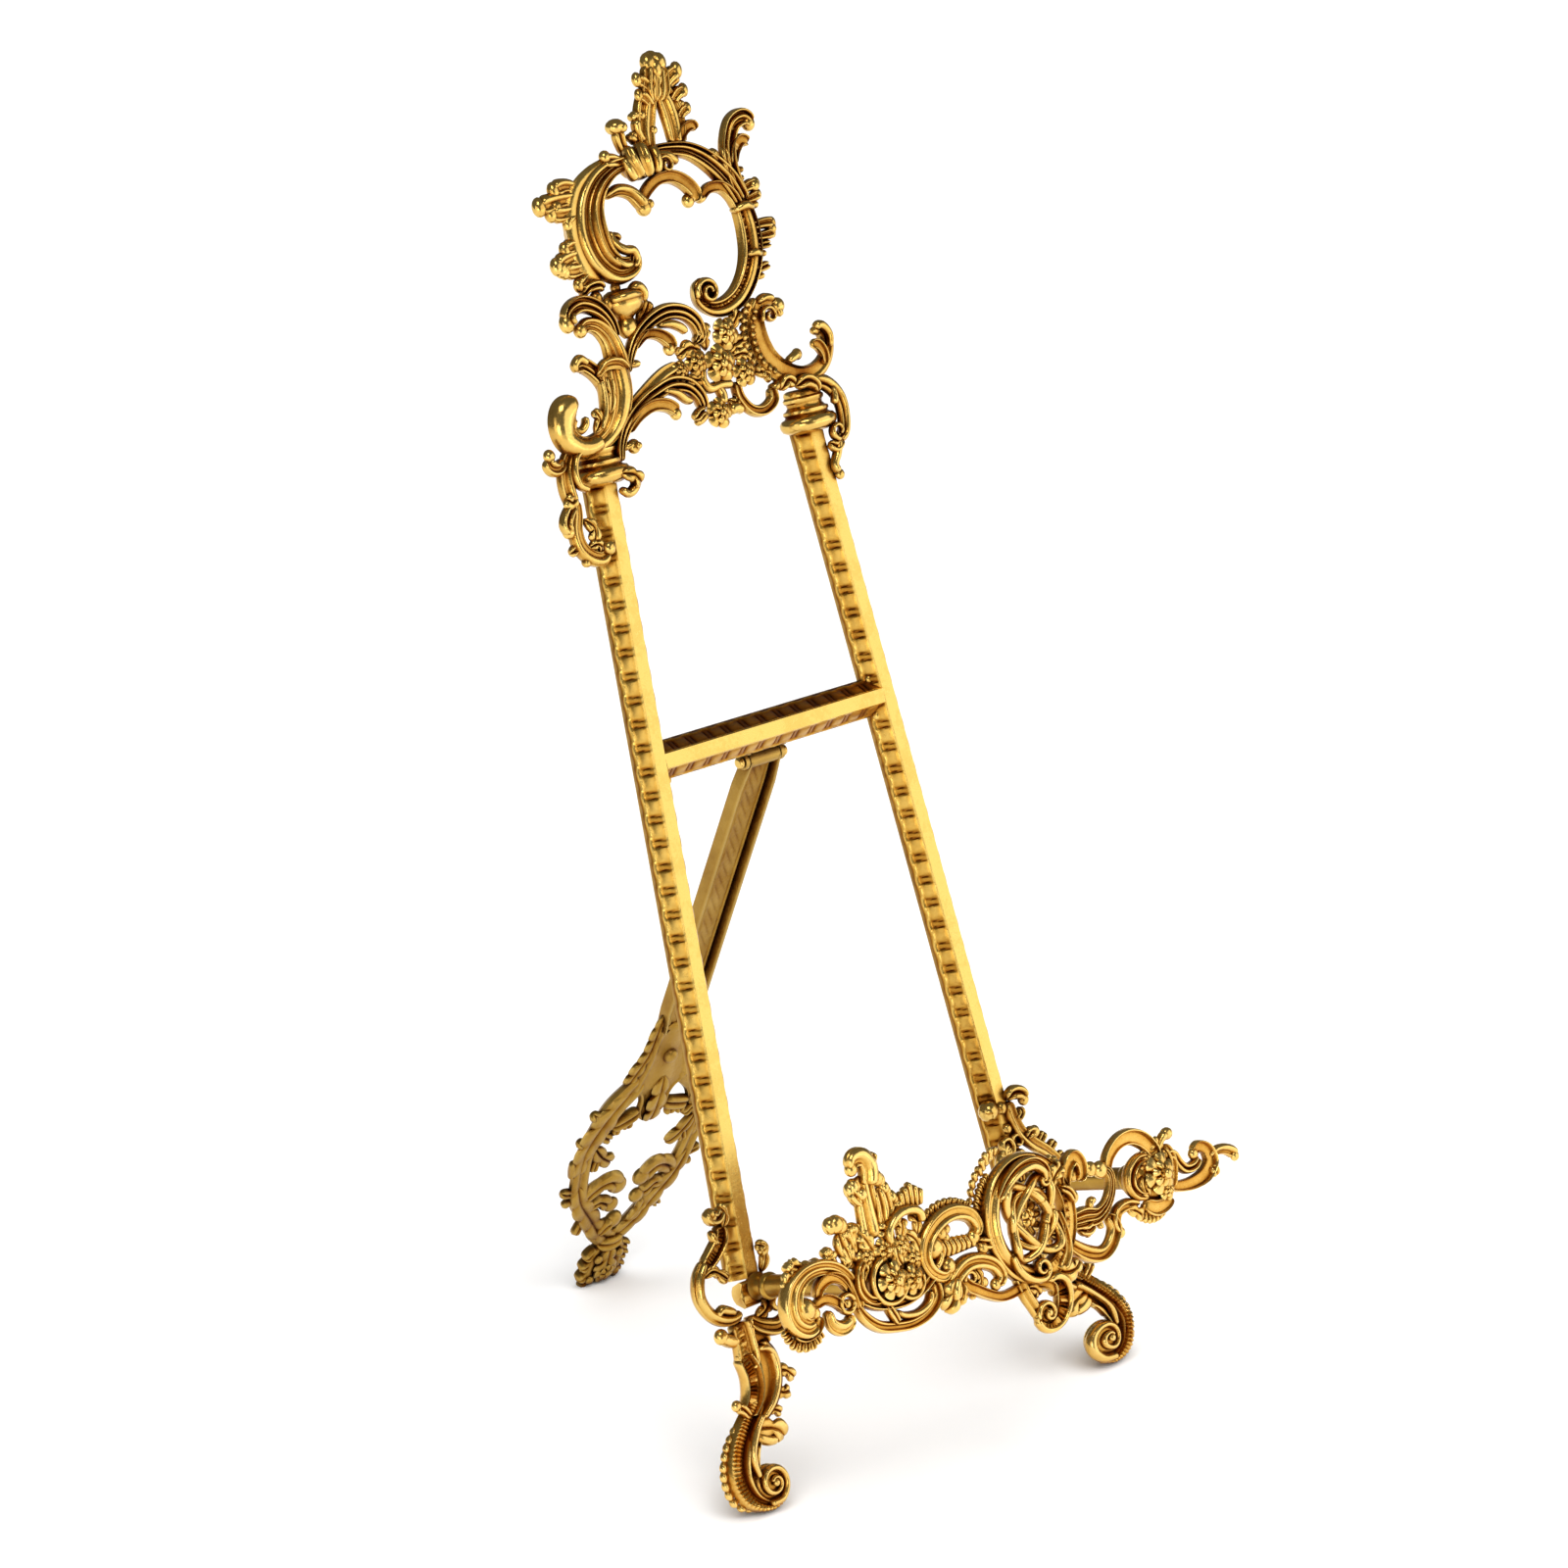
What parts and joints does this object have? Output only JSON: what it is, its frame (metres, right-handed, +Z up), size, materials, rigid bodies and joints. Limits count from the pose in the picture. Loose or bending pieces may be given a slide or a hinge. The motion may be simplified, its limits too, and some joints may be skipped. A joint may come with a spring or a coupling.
{
  "type": "display easel",
  "caption": "Leaning ornamental brass table easel: two rails, scrolled crest and feet, a scrolled ledge held forward on two arms, and a folding rear leg.",
  "frame": {"origin": "on the table, at the middle of the footprint of the open easel", "axes": "+Z up, -Y towards the viewer of the picture (the ledge side), +X to that viewer's right"},
  "size_m": [0.2182, 0.2443, 0.4711],
  "materials": {
    "bright_brass": "cast and polished, with darker gold in the recesses",
    "brown_brass": "turned and lacquered, browned",
    "dull_brass": "cast, dull, with brown patina"
  },
  "bodies": {
    "frame": {"arm_leaf_left": "bright_brass", "arm_leaf_right": "bright_brass", "arm_left": "brown_brass", "arm_right": "brown_brass", "capital_left": "bright_brass", "capital_right": "bright_brass", "cartouche": "bright_brass", "cartouche_straps": "bright_brass", "crest_arch": "bright_brass", "crest_c_scroll": "bright_brass", "crest_crescent": "bright_brass", "crest_cup": "bright_brass", "crest_finial": "bright_brass", "crest_flowers": "bright_brass", "crest_knot": "bright_brass", "crest_left_acanthus": "bright_brass", "crest_left_branch": "bright_brass", "crest_shell_scroll": "bright_brass", "crest_upper_branch": "bright_brass", "crossbar": "bright_brass", "drop_left": "bright_brass", "drop_right": "bright_brass", "foot_left": "bright_brass", "foot_right": "bright_brass", "gallery_left_boss": "bright_brass", "gallery_left_end": "bright_brass", "gallery_left_loops": "bright_brass", "gallery_left_scroll": "bright_brass", "gallery_lower_scroll": "bright_brass", "gallery_plume": "bright_brass", "gallery_right_boss": "bright_brass", "gallery_right_scrolls": "bright_brass", "gallery_right_tip": "bright_brass", "hinge_bracket": "brown_brass", "pendant": "bright_brass", "rail_left": "bright_brass", "rail_right": "bright_brass", "side_scroll_left": "bright_brass", "side_scroll_right": "bright_brass", "socket_left": "bright_brass", "socket_right": "bright_brass"},
    "strut": {"hinge_pin": "dull_brass", "strut_bar": "dull_brass", "rear_leg": "dull_brass", "rear_foot": "dull_brass", "rivet": "dull_brass"}
  },
  "joints": [
    {"name": "strut_fold", "type": "hinge", "parent": "frame", "child": "strut", "pos_m": [0.004, 0.02477, 0.23212], "axis": [1, 0, 0], "range_deg": [-38, 0]}
  ]
}
